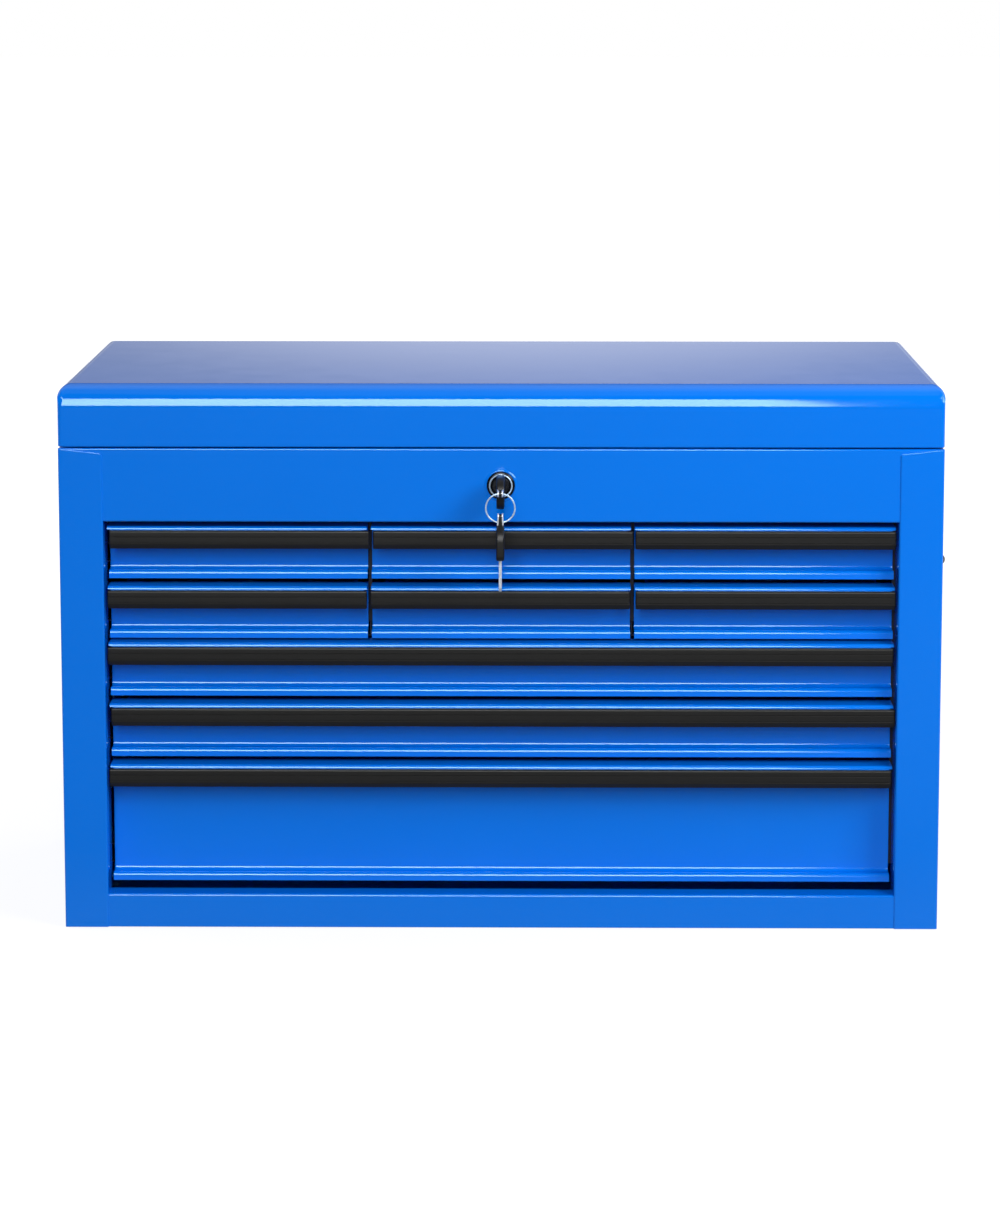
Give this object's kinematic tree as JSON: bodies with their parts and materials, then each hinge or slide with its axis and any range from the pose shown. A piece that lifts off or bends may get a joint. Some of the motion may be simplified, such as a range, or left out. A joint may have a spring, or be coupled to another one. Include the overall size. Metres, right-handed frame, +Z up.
{
  "type": "portable tool box with drawers",
  "caption": "Blue sheet-steel tool box with a lift-up lid over a till, rows of sliding drawers with black pulls, a front lock with keys and folding side handles.",
  "frame": {"origin": "middle of the base, on the surface the box stands on", "axes": "+X to the right seen from the front, +Y to the back, +Z up; the drawers open along -Y"},
  "size_m": [0.6838, 0.3594, 0.4135],
  "materials": {
    "blue_paint": "glossy blue powder coat with a fine orange-peel texture",
    "black_paint": "satin black",
    "black_plastic": "fine matt grain",
    "zinc_steel": "bright zinc plating",
    "chromed_steel": "polished"
  },
  "bodies": {
    "cabinet": {"side_panel_left": "blue_paint", "side_panel_right": "blue_paint", "back_panel": "blue_paint", "bottom_panel": "blue_paint", "top_rail": "blue_paint", "bottom_rail": "blue_paint", "till_floor": "blue_paint", "drawer_deck": "black_paint", "dividers": "black_paint", "cabinet_rails": "black_paint", "hinge_lower_leaf": "zinc_steel", "handle_brackets": "black_paint", "lock_barrel": "chromed_steel", "cabinet_fasteners": "zinc_steel"},
    "lid": {"lid_shell": "blue_paint", "hinge_upper_leaf": "zinc_steel", "hinge_pin": "zinc_steel", "lid_strike": "zinc_steel", "lid_fasteners": "zinc_steel"},
    "strut_tube_left": {"strut_tube_left": "black_paint"},
    "strut_rod_left": {"strut_rod_left": "chromed_steel"},
    "strut_tube_right": {"strut_tube_right": "black_paint"},
    "strut_rod_right": {"strut_rod_right": "chromed_steel"},
    "handle_left": {"handle_bail_left": "chromed_steel", "handle_grip_left": "black_plastic"},
    "handle_right": {"handle_bail_right": "chromed_steel", "handle_grip_right": "black_plastic"},
    "lock": {"lock_plug": "zinc_steel", "lock_cam": "zinc_steel"},
    "lock_bar": {"lock_bar": "black_paint"},
    "key": {"key": "black_plastic"},
    "key_ring": {"key_ring": "chromed_steel"},
    "spare_key": {"spare_key": "black_plastic"},
    "drawer_top_left": {"tray_top_left": "blue_paint", "pull_top_left": "black_plastic", "runners_top_left": "black_paint"},
    "drawer_top_middle": {"tray_top_middle": "blue_paint", "pull_top_middle": "black_plastic", "runners_top_middle": "black_paint"},
    "drawer_top_right": {"tray_top_right": "blue_paint", "pull_top_right": "black_plastic", "runners_top_right": "black_paint"},
    "drawer_second_left": {"tray_second_left": "blue_paint", "pull_second_left": "black_plastic", "runners_second_left": "black_paint"},
    "drawer_second_middle": {"tray_second_middle": "blue_paint", "pull_second_middle": "black_plastic", "runners_second_middle": "black_paint"},
    "drawer_second_right": {"tray_second_right": "blue_paint", "pull_second_right": "black_plastic", "runners_second_right": "black_paint"},
    "drawer_third": {"tray_third": "blue_paint", "pull_third": "black_plastic", "runners_third": "black_paint"},
    "drawer_fourth": {"tray_fourth": "blue_paint", "pull_fourth": "black_plastic", "runners_fourth": "black_paint"},
    "drawer_bottom": {"tray_bottom": "blue_paint", "pull_bottom": "black_plastic", "runners_bottom": "black_paint"}
  },
  "joints": [
    {"name": "lid_hinge", "type": "hinge", "parent": "cabinet", "child": "lid", "pos_m": [0, 0.1563, 0.367], "axis": [-1, 0, 0], "range_deg": [0, 95]},
    {"name": "strut_swing_left", "type": "hinge", "parent": "cabinet", "child": "strut_tube_left", "pos_m": [-0.313, -0.11, 0.34], "axis": [1, 0, 0], "range_deg": [-0.26821, 0]},
    {"name": "strut_slide_left", "type": "slide", "parent": "strut_tube_left", "child": "strut_rod_left", "axis": [0, 0.9755, 0.2199], "range_m": [0, 0.06878]},
    {"name": "strut_swing_right", "type": "hinge", "parent": "cabinet", "child": "strut_tube_right", "pos_m": [0.313, -0.11, 0.34], "axis": [1, 0, 0], "range_deg": [-0.26821, 0]},
    {"name": "strut_slide_right", "type": "slide", "parent": "strut_tube_right", "child": "strut_rod_right", "axis": [0, 0.9755, 0.2199], "range_m": [0, 0.06878]},
    {"name": "handle_swing_left", "type": "hinge", "parent": "cabinet", "child": "handle_left", "pos_m": [-0.3365, 0, 0.27], "axis": [0, 1, 0], "range_deg": [0, 90]},
    {"name": "handle_swing_right", "type": "hinge", "parent": "cabinet", "child": "handle_right", "pos_m": [0.3365, 0, 0.27], "axis": [0, -1, 0], "range_deg": [0, 90]},
    {"name": "lock_turn", "type": "hinge", "parent": "cabinet", "child": "lock", "pos_m": [0, -0.1535, 0.33875], "axis": [0, -1, 0], "range_deg": [-90, 0]},
    {"name": "lock_bar_slide", "type": "slide", "parent": "cabinet", "child": "lock_bar", "axis": [1, 0, 0], "range_m": [-0.00778, 0]},
    {"name": "key_pull", "type": "slide", "parent": "lock", "child": "key", "axis": [0, -1, 0], "range_m": [0, 0.19]},
    {"name": "key_ring_swing", "type": "hinge", "parent": "key", "child": "key_ring", "pos_m": [0, -0.1883, 0.33875], "axis": [-1, 0, 0], "range_deg": [-10, 45]},
    {"name": "spare_key_swing", "type": "hinge", "parent": "key_ring", "child": "spare_key", "pos_m": [0, -0.1883, 0.31625], "axis": [-1, 0, 0], "range_deg": [-10, 45]},
    {"name": "drawer_top_left_slide", "type": "slide", "parent": "cabinet", "child": "drawer_top_left", "axis": [0, -1, 0], "range_m": [0, 0.19]},
    {"name": "drawer_top_middle_slide", "type": "slide", "parent": "cabinet", "child": "drawer_top_middle", "axis": [0, -1, 0], "range_m": [0, 0.19]},
    {"name": "drawer_top_right_slide", "type": "slide", "parent": "cabinet", "child": "drawer_top_right", "axis": [0, -1, 0], "range_m": [0, 0.19]},
    {"name": "drawer_second_left_slide", "type": "slide", "parent": "cabinet", "child": "drawer_second_left", "axis": [0, -1, 0], "range_m": [0, 0.19]},
    {"name": "drawer_second_middle_slide", "type": "slide", "parent": "cabinet", "child": "drawer_second_middle", "axis": [0, -1, 0], "range_m": [0, 0.19]},
    {"name": "drawer_second_right_slide", "type": "slide", "parent": "cabinet", "child": "drawer_second_right", "axis": [0, -1, 0], "range_m": [0, 0.19]},
    {"name": "drawer_third_slide", "type": "slide", "parent": "cabinet", "child": "drawer_third", "axis": [0, -1, 0], "range_m": [0, 0.19]},
    {"name": "drawer_fourth_slide", "type": "slide", "parent": "cabinet", "child": "drawer_fourth", "axis": [0, -1, 0], "range_m": [0, 0.19]},
    {"name": "drawer_bottom_slide", "type": "slide", "parent": "cabinet", "child": "drawer_bottom", "axis": [0, -1, 0], "range_m": [0, 0.19]}
  ],
  "couplings": [
    {"joint": "strut_swing_left", "follows": "lid_hinge", "ratio": -0.002802},
    {"joint": "strut_slide_left", "follows": "lid_hinge", "m_per_rad": 0.041478},
    {"joint": "strut_swing_right", "follows": "lid_hinge", "ratio": -0.002802},
    {"joint": "strut_slide_right", "follows": "lid_hinge", "m_per_rad": 0.041478},
    {"joint": "lock_bar_slide", "follows": "lock_turn", "m_per_rad": 0.004952},
    {"joint": "key_pull", "follows": "drawer_top_middle_slide", "ratio": 1}
  ]
}
